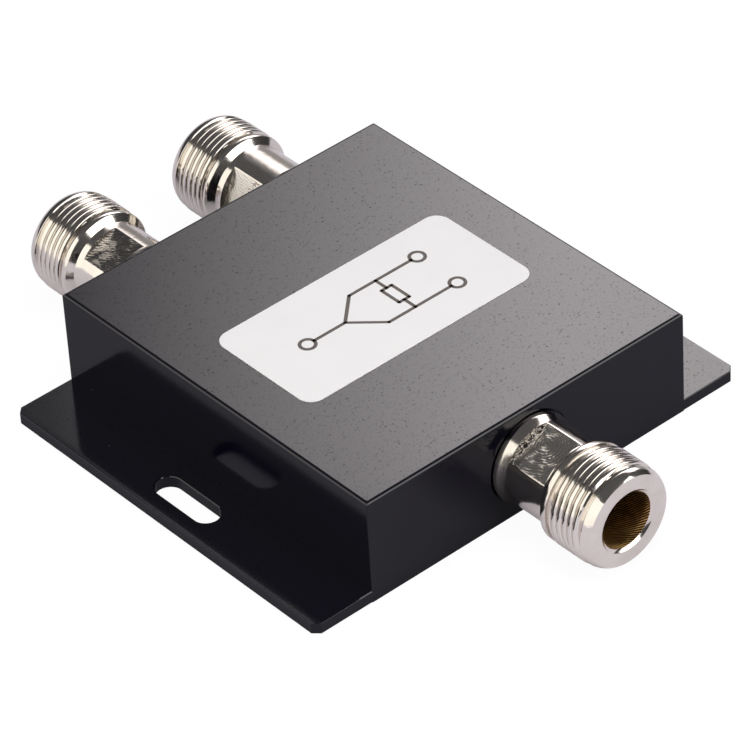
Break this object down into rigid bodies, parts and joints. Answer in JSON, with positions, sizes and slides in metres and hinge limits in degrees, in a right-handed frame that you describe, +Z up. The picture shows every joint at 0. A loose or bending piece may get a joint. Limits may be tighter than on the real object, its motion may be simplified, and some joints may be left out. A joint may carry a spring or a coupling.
{
  "type": "rf power splitter",
  "caption": "Black milled metal box with slotted side flanges, threaded coaxial sockets at its front and back, and a plain white label on top.",
  "frame": {"origin": "middle of the underside, in the plane of the flanges' undersides", "axes": "+Z up through the label, X across the flanges, Y along the sockets with the common socket on the -Y wall and the output pair on the +Y wall"},
  "size_m": [0.08, 0.1054, 0.0177],
  "materials": {
    "housing_paint": "satin black paint, finely speckled on top, glossier on the sides",
    "cover_paint": "satin black paint",
    "screw_steel": "zinc plated",
    "socket_nickel": "bright nickel on turned brass",
    "insulator_white": "turned white fluoropolymer",
    "contact_gold": "gold plated",
    "board_laminate": "glass laminate",
    "track_tinned": "tinned copper",
    "resistor_ceramic": "dark glazed film on ceramic",
    "label_paper": "matt white sticker paper"
  },
  "bodies": {
    "root": {"housing": "housing_paint", "bottom_cover": "cover_paint", "cover_screw_1": "screw_steel", "cover_screw_2": "screw_steel", "cover_screw_3": "screw_steel", "cover_screw_4": "screw_steel", "cover_screw_5": "screw_steel", "cover_screw_6": "screw_steel", "connector_in": "socket_nickel", "connector_out_left": "socket_nickel", "connector_out_right": "socket_nickel", "insulator_in": "insulator_white", "insulator_out_left": "insulator_white", "insulator_out_right": "insulator_white", "contact_in": "contact_gold", "contact_out_left": "contact_gold", "contact_out_right": "contact_gold", "circuit_board": "board_laminate", "copper_track": "track_tinned", "isolation_resistor": "resistor_ceramic", "board_screw_1": "screw_steel", "board_screw_2": "screw_steel", "board_screw_3": "screw_steel", "board_screw_4": "screw_steel", "label": "label_paper"}
  },
  "joints": []
}
